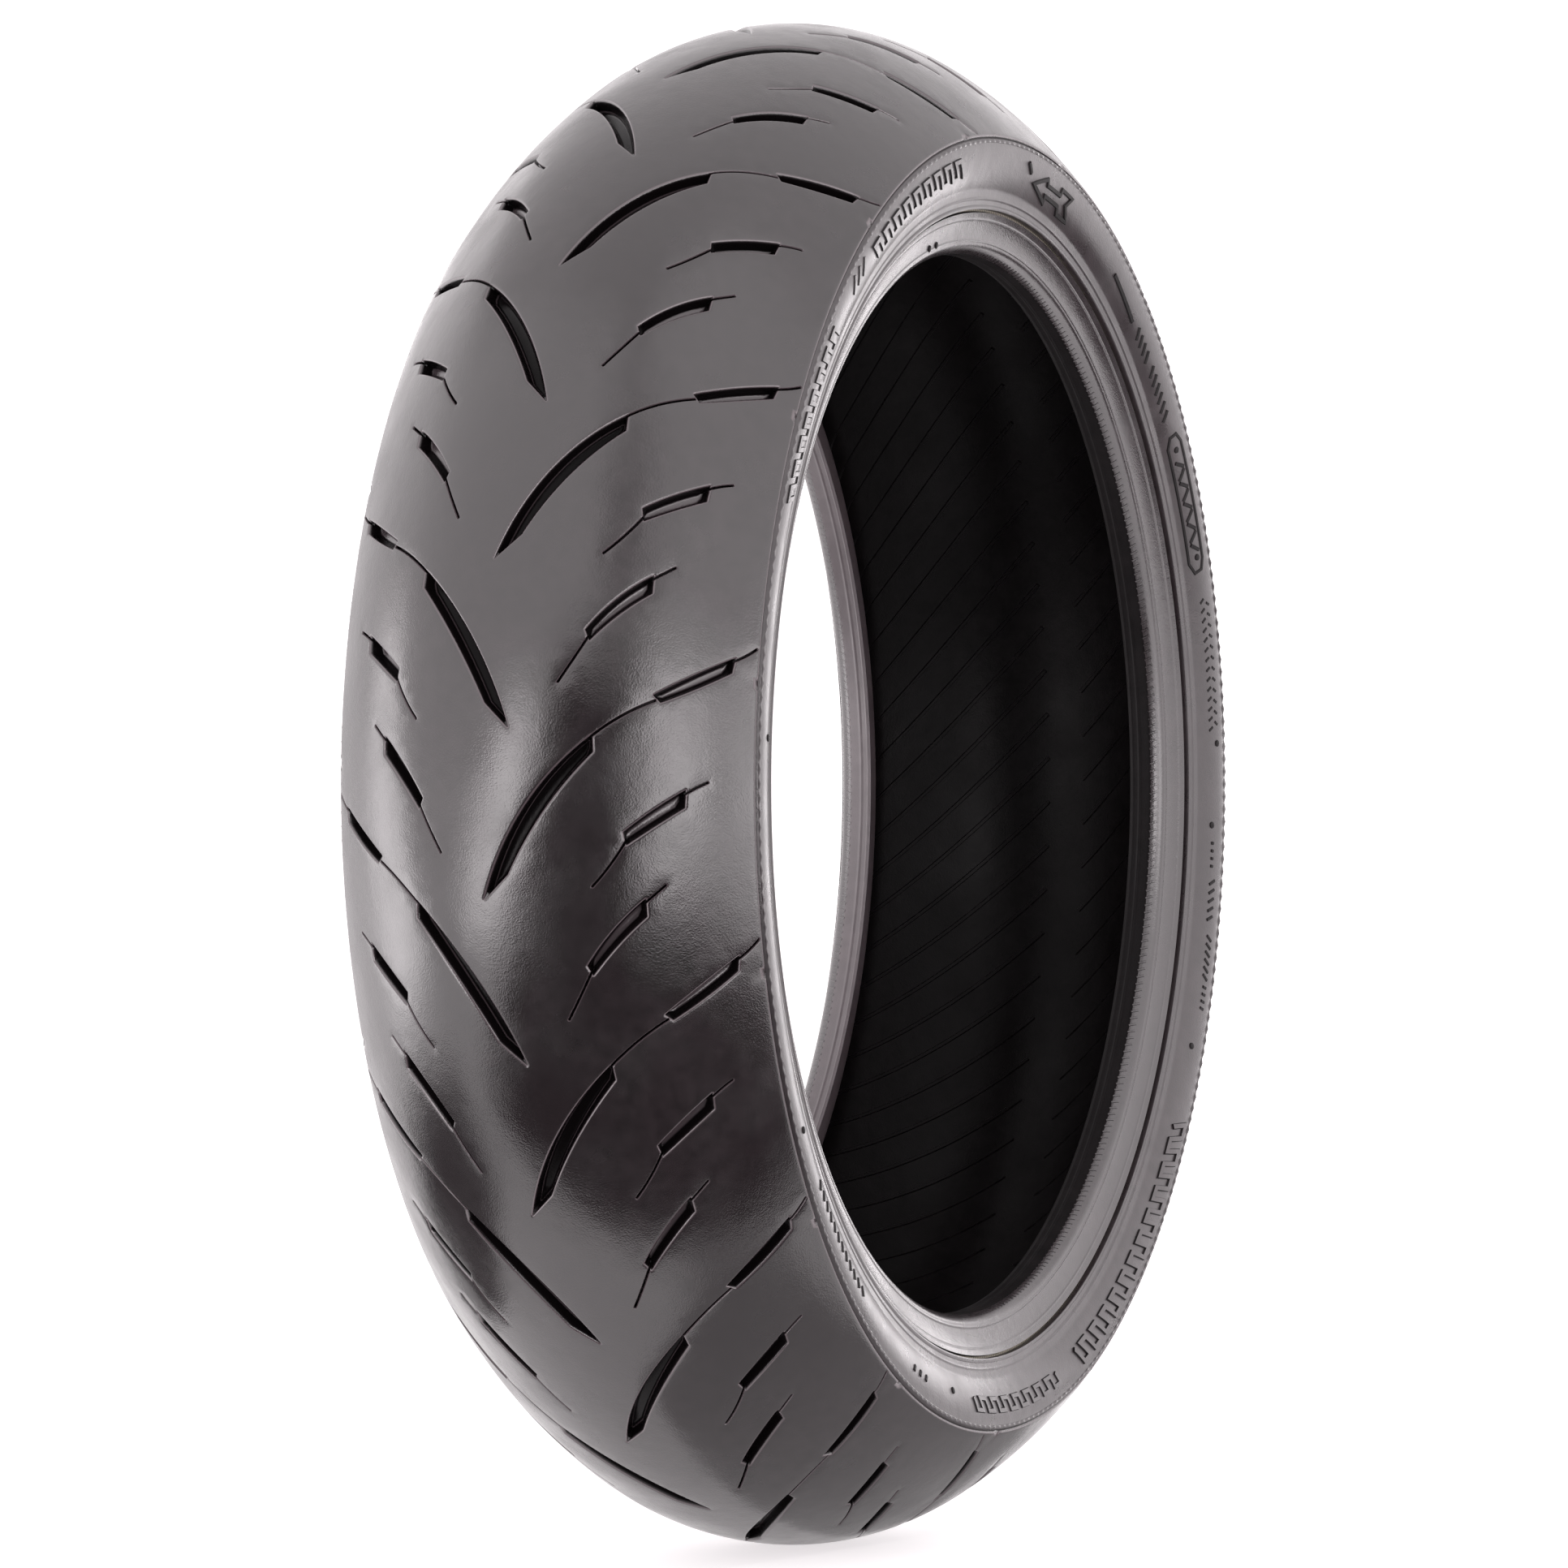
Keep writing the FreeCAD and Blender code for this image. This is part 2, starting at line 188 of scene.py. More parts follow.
def circle_through(start, middle, end, step):
    """Points about a step apart on the circle through three points, the two ends included."""
    a, b, c = (np.array(point, float) for point in (start, middle, end))
    p, q = b - a, c - a
    cross = 2 * (p[0] * q[1] - p[1] * q[0])
    if abs(cross) < 1e-6:
        count = max(2, int(np.linalg.norm(q) / step) + 1)
        return [tuple(a + q * share) for share in np.linspace(0, 1, count)]
    square_p, square_q = p @ p, q @ q
    away = np.array([q[1] * square_p - p[1] * square_q, p[0] * square_q - q[0] * square_p]) / cross
    centre, bend = a + away, np.linalg.norm(away)
    angles = [math.atan2(*(point - centre)[::-1]) for point in (a, b, c)]
    sweep = (angles[2] - angles[0]) % math.tau
    if (angles[1] - angles[0]) % math.tau > sweep:
        sweep -= math.tau
    count = max(2, int(abs(sweep) * bend / step) + 2)
    turns = angles[0] + sweep * np.linspace(0, 1, count)
    return [(centre[0] + bend * math.cos(t), centre[1] + bend * math.sin(t)) for t in turns]


def straight(start, end, step):
    """Points about a step apart on a straight line."""
    a, b = np.array(start, float), np.array(end, float)
    count = max(2, int(np.linalg.norm(b - a) / step) + 2)
    return [tuple(a + (b - a) * share) for share in np.linspace(0, 1, count)]


def joined(*stretches):
    """One closed outline out of stretches that run end to end."""
    points = []
    for stretch in stretches:
        points += stretch[:-1]
    return np.array(points)


# Grooves: how deep the tread is at a distance outside a groove's outline. Inside it is negative.


def groove_slope(depth):
    """A rounded edge, a steep wall and a flat floor."""
    return (
        (1.35, 0.0),
        (0.8, 0.07),
        (0.4, 0.27),
        (0.1, 0.7),
        (-0.05, 1.2),
        (-0.7, depth - 1.2),
        (-1.1, depth - 0.35),
        (-1.8, depth),
    )


SIPE_SLOPE = ((1.2, 0.0), (0.7, 0.1), (0.45, 0.5), (0.3, 2.3))
EDGE_SLOPE = ((1.4, 0.0), (0.8, 0.08), (0.35, 0.3), (0.0, 0.8))


def flat_corner(corner):
    """A pattern corner in millimetres both ways, as the mesh is laid out."""
    return corner[0] * DEGREE, corner[1]


def groove_outline(groove):
    leading = [flat_corner(corner) for corner in groove["leading"]]
    trailing = [flat_corner(corner) for corner in groove["trailing"]]
    return joined(
        circle_through(*leading, OUTLINE_STEP),
        straight(leading[-1], trailing[0], OUTLINE_STEP),
        circle_through(*trailing, OUTLINE_STEP),
        straight(trailing[-1], leading[0], OUTLINE_STEP),
    )


def sipe_outline(sipe):
    """A sipe's line out and back again, as an outline with no width."""
    path = circle_through(*(flat_corner(corner) for corner in sipe), OUTLINE_STEP)
    return np.array(path + path[-2:0:-1])


def on_other_side(outline, border):
    """The same outline on the right half: mirrored, and half a repeat further round or back."""
    moved = outline * (1, -1) + (REPEAT_ANGLE / 2 * DEGREE, 0)
    middle = moved.mean(0)
    if middle[0] > np.interp(middle[1], border[:, 1], border[:, 0]) + REPEAT_ANGLE * DEGREE:
        moved = moved - (REPEAT_ANGLE * DEGREE, 0)
    return moved[::-1]


def distance_to(points, outline):
    """Distance of points from a closed outline, negative inside it."""
    start = outline[None]
    step = np.roll(outline, -1, axis=0)[None] - start
    away = points[:, None] - start
    length = np.maximum((step**2).sum(-1), 1e-12)
    share = np.clip((away * step).sum(-1) / length, 0, 1)
    near = np.sqrt(((away - share[..., None] * step) ** 2).sum(-1)).min(1)
    rises = (away[..., 1] < 0) != (away[..., 1] < step[..., 1])
    height = np.where(step[..., 1] == 0, 1e-12, step[..., 1])
    left = away[..., 0] < step[..., 0] * away[..., 1] / height
    inside = (rises & left).sum(1) % 2 == 1
    return np.where(inside, -near, near)


def area_of(outline):
    """The area inside an outline, negative if it runs clockwise."""
    following = np.roll(outline, -1, axis=0)
    return (outline[:, 0] * following[:, 1] - outline[:, 1] * following[:, 0]).sum() / 2


def line_beside(outline, offset):
    """The outline moved outwards by offset, round at its corners, or inwards if it is negative."""
    before = outline - np.roll(outline, 1, axis=0)
    after = np.roll(outline, -1, axis=0) - outline
    outside = 1.0 if area_of(outline) >= 0 else -1.0
    points = []
    for spot, arriving, leaving in zip(outline, before, after):
        first = math.atan2(-arriving[0] * outside, arriving[1] * outside)
        last = math.atan2(-leaving[0] * outside, leaving[1] * outside)
        swing = (last - first + math.pi) % math.tau - math.pi
        if abs(swing) > U_TURN:
            swing = abs(swing)
        steps = int(abs(swing) / CORNER_STEP) if offset > 0 else 0
        shares = np.linspace(0, 1, steps + 1) if steps else [0.5]
        for share in shares:
            angle = first + swing * share
            points.append(spot + offset * np.array([math.cos(angle), math.sin(angle)]))
    points = np.array(points)
    clear = np.abs(distance_to(points, outline)) > abs(offset) - LINE_ERROR
    return points[clear]


def tread_features(border):
    """Every groove and sipe of one repeat, as (outline, slope)."""
    left = [(groove_outline(groove), groove_slope(groove["depth"])) for groove in GROOVES]
    left += [(sipe_outline(sipe), SIPE_SLOPE) for sipe in SIPES]
    right = [(on_other_side(outline, border), slope) for outline, slope in left]
    return left + right


def seam():
    """The line where one repeat of the pattern meets the next. It passes between the grooves."""
    leading = MAIN_GROOVE["leading"][1:] + SHOULDER_GROOVE["leading"]
    trailing = SHOULDER_GROOVE["trailing"] + MAIN_GROOVE["trailing"]
    right = [(turn - REPEAT_ANGLE / 2 + SEAM_GAP, -across) for turn, across in leading]
    left = [(turn - SEAM_GAP, across) for turn, across in trailing][::-1]
    edge_turn = EDGE_SIPE[-1][0]
    corners = [(edge_turn - REPEAT_ANGLE / 2 + SEAM_GAP, -HALF_TREAD)]
    corners += right[::-1] + left
    corners.append((edge_turn - SEAM_GAP, HALF_TREAD))
    points = []
    for start, end in zip(corners, corners[1:]):
        points += straight(flat_corner(start), flat_corner(end), GRID_STEP)[:-1]
    return np.array(points + [flat_corner(corners[-1])])


def band(low, high):
    """Four-sided faces between two closed rows of points."""
    return np.stack([low, np.roll(low, -1), np.roll(high, -1), high], axis=-1)


class Plan:
    """Points and the lines between them, in the flat layout of one repeat."""

    def __init__(self):
        self.points = []
        self.lines = []

    def add(self, points, closed=False):
        first = len(self.points)
        self.points += [Vector((float(x), float(y))) for x, y in points]
        last = len(self.points) - 1
        self.lines += [(n, n + 1) for n in range(first, last)]
        if closed:
            self.lines.append((last, first))
        return list(range(first, last + 1))


def edge_row(border, across):
    """Points along the tread's edge, or a little inside it, over one repeat."""
    start = np.interp(across, border[:, 1], border[:, 0])
    steps = np.arange(EDGE_STEPS + 1) / EDGE_STEPS
    return [(start + share * REPEAT_ANGLE * DEGREE, across) for share in steps]


def grid_points(border, outlines):
    """Evenly spaced points that fill the rest of the repeat."""
    width = REPEAT_ANGLE * DEGREE
    columns = int(width / GRID_STEP)
    edge = HALF_TREAD - GRID_MARGIN
    rows = int(2 * edge / (GRID_STEP * math.sin(math.radians(60))))
    points = []
    for row, across in enumerate(np.linspace(-edge, edge, rows)):
        start = np.interp(across, border[:, 1], border[:, 0])
        shift = 0.5 + 0.5 * (row % 2)
        points += [(start + (n + shift) * width / columns, across) for n in range(columns - 1)]
    points = np.array(points)
    keep = np.ones(len(points), bool)
    for outline in outlines:
        keep &= distance_to(points, outline) > GRID_MARGIN
    return points[keep]


def depth_at(points, features):
    """How far each point of the layout lies under the plain tread surface."""
    depth = np.zeros(len(points))
    for outline, slope in features:
        reach = slope[0][0]
        low, high = outline.min(0) - reach, outline.max(0) + reach
        near = np.flatnonzero(((points > low) & (points < high)).all(1))
        distances = distance_to(points[near], outline)
        places, depths = zip(*slope[::-1])
        depth[near] = np.maximum(depth[near], np.interp(distances, places, depths, right=0))
    places, depths = zip(*EDGE_SLOPE[::-1])
    from_edge = HALF_TREAD - np.abs(points[:, 1])
    return np.maximum(depth, np.interp(from_edge, places, depths, right=0))


def repeat_plan(border, features):
    """The plan of one repeat, and which of its points are on its two sides."""
    plan = Plan()
    first_side = plan.add(border)
    second_side = plan.add(border + (REPEAT_ANGLE * DEGREE, 0))
    for across, ends in ((-HALF_TREAD, 0), (HALF_TREAD, -1)):
        middle = plan.add(edge_row(border, across)[1:-1])
        plan.lines += [(first_side[ends], middle[0]), (middle[-1], second_side[ends])]
    for place, _ in EDGE_SLOPE[:-1]:
        for side in (-1, 1):
            plan.add(edge_row(border, side * (HALF_TREAD - place))[1:-1])
    for outline, slope in features:
        for place, _ in slope:
            ring = outline if place == 0 else line_beside(outline, place)
            if len(ring) > 2:
                plan.add(ring, closed=True)
    filling = grid_points(border, [outline for outline, _ in features])
    plan.points += [Vector(point) for point in filling.tolist()]
    return plan, (first_side, second_side)


def tread_repeat():
    """One repeat of the tread: layout points, depths, triangles, and the two matching sides."""
    border = seam()
    features = tread_features(border)
    plan, planned_sides = repeat_plan(border, features)
    made = delaunay_2d_cdt(plan.points, plan.lines, [], 1, 1e-5)
    points = np.array([tuple(point) for point in made[0]])
    new_place = {}
    for place, sources in enumerate(made[3]):
        for source in sources:
            new_place[source] = place
    sides = [[new_place[n] for n in side] for side in planned_sides]
    return points, depth_at(points, features), np.array(made[2]), sides


def whole_tread():
    """The patterned surface all round: degrees round, distance across, depth and triangles."""
    points, depths, faces, (first_side, second_side) = tread_repeat()
    count = len(points)
    rounds, everything = [], []
    for repeat in range(REPEATS):
        index = np.arange(count) + repeat * count
        index[second_side] = np.array(first_side) + (repeat + 1) % REPEATS * count
        rounds.append(points[:, 0] / DEGREE + PATTERN_START + repeat * REPEAT_ANGLE)
        everything.append(index[faces])
    across = np.tile(points[:, 1], REPEATS)
    depth = np.tile(depths, REPEATS)
    return np.concatenate(rounds), across, depth, np.concatenate(everything)


# Making meshes

SHARP_ANGLE = math.radians(40.0)  # sharper edges aren't smoothed


def add_object(name, data):
    made = bpy.data.objects.new(name, data)
    bpy.context.scene.collection.objects.link(made)
    return made


def new_piece(name, verts, faces, materials, finishes=None, values=None):
    """A mesh object from points in metres and blocks of faces, with one finish for each block."""
    used, places = np.unique(np.concatenate([block.ravel() for block in faces]), return_inverse=True)
    rows, kinds, start = [], [], 0
    for number, block in enumerate(faces):
        rows += places[start:start + block.size].reshape(block.shape).tolist()
        kinds += [finishes[number] if finishes else 0] * len(block)
        start += block.size
    mesh = bpy.data.meshes.new(name)
    mesh.from_pydata(verts[used].tolist(), [], rows)
    mesh.polygons.foreach_set("use_smooth", [True] * len(mesh.polygons))
    mesh.polygons.foreach_set("material_index", kinds)
    for material in materials:
        mesh.materials.append(material)
    for label, amounts in (values or {}).items():
        mesh.attributes.new(label, "FLOAT", "POINT").data.foreach_set("value", amounts[used])
    piece = add_object(name, mesh)
    bpy.context.view_layer.objects.active = piece
    piece.select_set(True)
    bpy.ops.object.mode_set(mode="EDIT")
    bpy.ops.mesh.select_all(action="SELECT")
    bpy.ops.mesh.normals_make_consistent(inside=False)
    bpy.ops.object.mode_set(mode="OBJECT")
    piece.select_set(False)
    mesh.set_sharp_from_angle(angle=SHARP_ANGLE)
    return piece


def stand_in(piece, node):
    """The piece takes a CAD node's place and moves with the tire."""
    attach(piece, BODY)
    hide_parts(node)


# Tread cap

HIDDEN_ROWS = 13
EDGE_WALL_DEPTH = 4.0


def sorted_edge(rounds, across, used, sign):
    """The points along one edge of the tread, in order round the tire."""
    on_edge = np.flatnonzero(used & (np.abs(across - sign * HALF_TREAD) < 1e-3))
    return on_edge[np.argsort(rounds[on_edge] % 360)]


def tread_back(rounds, right, left, first):
    """The two edge walls and the plain face on the base, as points, depths and faces."""
    columns = len(left)
    rows = [(-HALF_TREAD, EDGE_WALL_DEPTH)]
    rows += [(place, CAP_THICKNESS) for place in np.linspace(-HALF_TREAD, HALF_TREAD, HIDDEN_ROWS)]
    rows.append((HALF_TREAD, EDGE_WALL_DEPTH))
    blocks, depths, lines = [], [], [right]
    for number, (place, deep) in enumerate(rows):
        share = (place + HALF_TREAD) / (2 * HALF_TREAD)
        row_turn = rounds[right] % 360 * (1 - share) + rounds[left] % 360 * share
        blocks.append(turn_round(*tread_section(np.full(columns, place), deep), row_turn))
        depths.append(np.full(columns, deep))
        lines.append(np.arange(columns) + first + columns * number)
    lines.append(left)
    return blocks, depths, [band(low, high) for low, high in zip(lines, lines[1:])]


def make_tread():
    """The tread cap: the patterned outside, two edge walls, and the plain face on the base."""
    rounds, across, depth, faces = whole_tread()
    radius, side = tread_section(across, depth)
    verts = turn_round(radius, side, rounds)
    used = np.zeros(len(verts), bool)
    used[faces.ravel()] = True
    right, left = (sorted_edge(rounds, across, used, sign) for sign in (-1, 1))
    blocks, depths, hidden = tread_back(rounds, right, left, len(verts))
    piece = new_piece(
        "tread_cap_patterned",
        np.concatenate([verts, *blocks]),
        [faces, *hidden],
        [tread_rubber()],
        values={"depth": np.concatenate([depth, *depths])},
    )
    stand_in(piece, "tread_cap")


# Curves of the cross-section

SECTION_STEP = 0.8
CAVITY_STEP = 2.0
BUTTRESS_STEP = 1.0
RIDGE_POINTS = np.array([-2, -1, 0, 1, 2])  # where a ridge has points, in half widths


class Profile:
    """A curve in the cross-section that gives the point at any distance along it."""

    def __init__(self, points, facing=1):
        self.points = np.array(points, float)
        steps = np.hypot(*np.diff(self.points, axis=0).T)
        self.places = np.concatenate([[0], np.cumsum(steps)])
        tangent = np.gradient(self.points, self.places, axis=0)
        tangent /= np.hypot(*tangent.T)[:, None]
        self.normals = facing * np.stack([-tangent[:, 1], tangent[:, 0]], axis=1)
        self.length = self.places[-1]

    def spot(self, place, lift):
        """Radius and side at this distance along, and this far out of the surface."""
        parts = [np.interp(place, self.places, values) for values in self.points.T]
        slants = [np.interp(place, self.places, values) for values in self.normals.T]
        return [part + slant * lift for part, slant in zip(parts, slants)]

    def place_at(self, radius):
        """Distance along to where the curve has this radius."""
        order = np.argsort(self.points[:, 0])
        return np.interp(radius, self.points[order, 0], self.places[order])

    def stretch(self, start, end, ridges=(), step=SECTION_STEP):
        """Points along part of the curve, with fine ridges of (place, height, half width)."""
        places = np.linspace(start, end, int((end - start) / step) + 2)
        for middle, _, half in ridges:
            places = np.append(places, middle + half * RIDGE_POINTS)
        places = np.unique(places[(places >= start) & (places <= end)])
        lift = np.zeros(len(places))
        for middle, height, half in ridges:
            lift += height * np.exp(-(((places - middle) / half) ** 2))
        return list(zip(*self.spot(places, lift)))


def bent(centre, bend, start, end, step):
    """Points of an arc in the cross-section, between two angles from straight outwards."""
    count = max(3, int(abs(end - start) * bend / step) + 2)
    angles = np.linspace(start, end, count)
    return [(centre[0] + bend * math.cos(a), centre[1] + bend * math.sin(a)) for a in angles]


def sidewall_profile():
    """From the tread's edge down to the top of the rim line's ridge."""
    points = circle_through(SIDEWALL_TOP, SIDEWALL_MIDDLE, SIDEWALL_LOW, SECTION_STEP)
    return Profile(points + straight(SIDEWALL_LOW, RIDGE_TOP, SECTION_STEP)[1:], facing=-1)


def bead_profile():
    """From under the rim line over the flange hollow, heel and seat to the toe."""
    points = circle_through(RIDGE_FOOT, FLANGE_MIDDLE, HEEL, SECTION_STEP)
    points += circle_through(HEEL, HEEL_MIDDLE, SEAT_OUTER, SECTION_STEP)[1:]
    return Profile(points + straight(SEAT_OUTER, SEAT_INNER, SECTION_STEP)[1:], facing=-1)


def cavity_profile(depth):
    """Half of the outline this deep under the tread, from the middle of the crown to the bead."""
    crown_middle = (CROWN_RADIUS - CROWN_ARC, 0.0)
    shift = SHOULDER_ARC - CROWN_ARC
    lower = crown_middle[0] - shift * math.cos(CROWN_ARC_END)
    shoulder_middle = (lower, -shift * math.sin(CROWN_ARC_END))
    buttress = BUTTRESS_BEND + CAVITY_DEPTH - depth
    shoulder = SHOULDER_ARC - depth
    points = bent(crown_middle, CROWN_ARC - depth, 0, CROWN_ARC_END, CAVITY_STEP)
    points += bent(shoulder_middle, shoulder, CROWN_ARC_END, BUTTRESS_START, CAVITY_STEP)[1:]
    points += bent(BUTTRESS, buttress, BUTTRESS_START, BUTTRESS_END, BUTTRESS_STEP)[1:]
    last = points[-1]
    down, back = math.sin(BUTTRESS_END), math.cos(BUTTRESS_END)
    end = (last[0] - LOWER_STRAIGHT * down, last[1] + LOWER_STRAIGHT * back)
    return Profile(points + straight(last, end, CAVITY_STEP)[1:])


# Revolved rings and raised lines

LINE_STEP = 3.0
LINE_SINK = 0.3  # how far a raised line reaches into the surface that it stands on
LINE_SLOPE = 0.5  # how much wider it is there, each side
MITRE_LIMIT = 0.5  # keeps the mitre of a sharp corner short
WALL_FINISH = 1  # which of a piece's materials the steep sides of raised lines get


def ring_turns(columns):
    """Each column's degrees round."""
    return np.arange(columns)[:, None] * 360.0 / columns


def ring_faces(columns, count):
    """Faces of a closed outline of count points, turned once round in this many columns."""
    column, place = np.meshgrid(np.arange(columns), np.arange(count), indexing="ij")
    after, beyond = (column + 1) % columns, (place + 1) % count
    corners = [column * count + place, after * count + place]
    corners += [after * count + beyond, column * count + beyond]
    return np.stack([corner.ravel() for corner in corners], axis=1)


def ring_block(outline, columns, finishes=None):
    """A closed outline of (radius, side) turned once round, with a finish for each of its sides."""
    radius, side = np.array(outline, float).T
    turns = ring_turns(columns)
    verts = turn_round(radius + 0 * turns, side + 0 * turns, turns)
    faces = ring_faces(columns, len(outline))
    kinds = np.tile(finishes or [0] * len(outline), columns)
    return verts.reshape(-1, 3), [(faces[kinds == kind], kind) for kind in np.unique(kinds)]


def fine_path(corners, closed):
    """The corners with more points between them, so that a line follows a curved surface."""
    ends = np.vstack([corners, corners[:1]]) if closed else corners
    fine = [ends[0]]
    for start, end in zip(ends, ends[1:]):
        fine += [np.array(point) for point in straight(start, end, LINE_STEP)[1:]]
    return np.array(fine[:-1] if closed else fine)


def sideways(fine, closed):
    """The direction across a path at each of its points, longer at the corners to keep its width."""
    ahead = np.roll(fine, -1, axis=0) - fine
    behind = fine - np.roll(fine, 1, axis=0)
    if not closed:
        ahead[-1], behind[0] = behind[-1], ahead[0]
    ahead /= np.hypot(*ahead.T)[:, None]
    behind /= np.hypot(*behind.T)[:, None]
    mitre = ahead + behind
    mitre /= np.maximum(np.hypot(*mitre.T), 1e-6)[:, None]
    stretch = 1 / np.maximum((mitre * ahead).sum(1), MITRE_LIMIT)
    return np.stack([-mitre[:, 1], mitre[:, 0]], axis=1) * stretch[:, None]


def raised_line(path, width, rise, spot, closed=False, top_finish=0):
    """A line that stands out of a surface. Its path is (degrees round, place on the surface)."""
    path = np.array(path, float)
    degree = math.radians(1) * spot(path[:, 1].mean(), 0)[0]
    fine = fine_path(path * (degree, 1), closed)
    across = sideways(fine, closed)
    half, foot = width / 2, width / 2 + LINE_SLOPE
    verts = []
    for offset, lift in ((-foot, -LINE_SINK), (-half, rise), (half, rise), (foot, -LINE_SINK)):
        place = fine + across * offset
        radius, side = spot(place[:, 1], lift)
        verts.append(turn_round(radius, side, place[:, 0] / degree))
    index = np.arange(4 * len(fine)).reshape(4, -1)
    start, end = (index, np.roll(index, -1, axis=1)) if closed else (index[:, :-1], index[:, 1:])
    faces = [np.stack([start[n], end[n], end[(n + 1) % 4], start[(n + 1) % 4]], axis=-1)
             for n in range(4)]
    walls = [faces[0], faces[2], faces[3]]
    if not closed:
        walls += [index[:, :1].T, index[:, -1:].T]
    return np.concatenate(verts), [(np.vstack(walls), WALL_FINISH), (faces[1], top_finish)]


NUB_RINGS = ((1.6, -LINE_SINK), (1.4, 0.4), (0.9, 0.6))  # radius and height of each ring
NUB_CAP = ((0, 1, 2, 7), (7, 2, 3, 6), (6, 3, 4, 5))


def nub(turn, place, spot):
    """A short eight-sided stub left by a vent hole of the mould."""
    degree = math.radians(1) * spot(place, 0)[0]
    angles = np.arange(8) * math.tau / 8
    verts = []
    for size, lift in NUB_RINGS:
        radius, side = spot(place + size * np.sin(angles), lift)
        verts.append(turn_round(radius, side, turn + size * np.cos(angles) / degree))
    index = np.arange(8 * len(NUB_RINGS)).reshape(-1, 8)
    faces = [band(low, high) for low, high in zip(index, index[1:])]
    faces += [index[0][np.array(NUB_CAP)], index[-1][np.array(NUB_CAP)]]
    # The whole stub takes the piece's second finish: painted shade on the sidewalls and the left bead,
    # painted sheen on the right bead.
    return np.concatenate(verts), [(np.vstack(faces), WALL_FINISH)]


def merged(blocks):
    """Several blocks of points and faces as one list of points, face blocks and their finishes."""
    verts, faces, finishes, first = [], [], [], 0
    for points, parts in blocks:
        verts.append(points)
        for part, finish in parts:
            faces.append(part + first)
            finishes.append(finish)
        first += len(points)
    return np.concatenate(verts), faces, finishes


def make_both_sides(name, blocks, rubbers):
    """A piece on the left and its mirror image on the right."""
    verts, faces, finishes = merged(blocks)
    for side, sign in (("left", 1), ("right", -1)):
        node = name + side
        piece = new_piece(node + "_moulded", verts * (1, sign, 1), faces, rubbers[side], finishes)
        stand_in(piece, node)


# Materials


class Shader:
    """A material whose nodes are added one by one."""

    def __init__(self, name, roughness=0.5, **settings):
        self.material = bpy.data.materials.new(name)
        self.material.use_nodes = True
        self.tree = self.material.node_tree
        self.surface = self.tree.nodes["Principled BSDF"]
        self.place = self.add("TexCoord").outputs["Object"]
        self.finish(Roughness=roughness, **settings)

    def add(self, kind, **inputs):
        made = self.tree.nodes.new("ShaderNode" + kind)
        self.set(made, {name.replace("_", " "): value for name, value in inputs.items()})
        return made

    def set(self, node, inputs):
        """Set a node's inputs, or link those that come from another node."""
        for name, value in inputs.items():
            if isinstance(value, bpy.types.NodeSocket):
                self.tree.links.new(value, node.inputs[name])
            else:
                node.inputs[name].default_value = value

    def noise(self, scale, detail=4.0):
        return self.add("TexNoise", Vector=self.place, Scale=scale, Detail=detail).outputs["Fac"]

    def spread(self, value, low, high, start=0.3, end=0.7):
        """The value between start and end, as a number from low to high."""
        ends = {"From_Min": start, "From_Max": end, "To_Min": low, "To_Max": high}
        return self.add("MapRange", Value=value, **ends).outputs["Result"]

    def multiply(self, first, second):
        made = self.tree.nodes.new("ShaderNodeMath")
        made.operation = "MULTIPLY"
        self.tree.links.new(first, made.inputs[0])
        self.tree.links.new(second, made.inputs[1])
        return made.outputs[0]

    def mix(self, share, first, second):
        """A colour between two others. The share says how much of the second is in it."""
        made = self.tree.nodes.new("ShaderNodeMix")
        made.data_type = "RGBA"
        sockets = [made.inputs[number] for number in (0, 6, 7)]
        for socket, value in zip(sockets, (share, first, second)):
            if isinstance(value, bpy.types.NodeSocket):
                self.tree.links.new(value, socket)
            else:
                socket.default_value = value
        return made.outputs[2]

    def bump(self, height, distance, strength=1.0, normal=None):
        """The normal of a surface with this relief, on top of another relief if one is given."""
        inputs = {"Height": height, "Distance": distance, "Strength": strength}
        if normal is not None:
            inputs["Normal"] = normal
        return self.add("Bump", **inputs).outputs["Normal"]

    def finish(self, **inputs):
        self.set(self.surface, {name.replace("_", " "): value for name, value in inputs.items()})
        return self.material


def grey(level):
    """A nearly neutral colour, very slightly warm."""
    return (level * 1.17, level * 0.89, level * 0.99, 1.0)


def rubber(name, dark, light, rough_low, rough_high, gloss=1.8, grain=0.00012):
    """Black rubber with cloudy colour, uneven gloss and a fine moulded grain."""
    shader = Shader(name, IOR=gloss)
    cloud = shader.spread(shader.noise(9.0, 6.0), 0, 1)
    speck = shader.spread(shader.noise(160.0), 0, 1)
    colour = shader.mix(shader.multiply(cloud, speck), grey(dark), grey(light))
    roughness = shader.spread(shader.noise(35.0, 6.0), rough_low, rough_high)
    fine = shader.bump(shader.noise(1500.0, 2.0), grain, 0.6)
    normal = shader.bump(shader.noise(120.0, 3.0), grain * 2, 0.5, fine)
    return shader, colour, roughness, normal


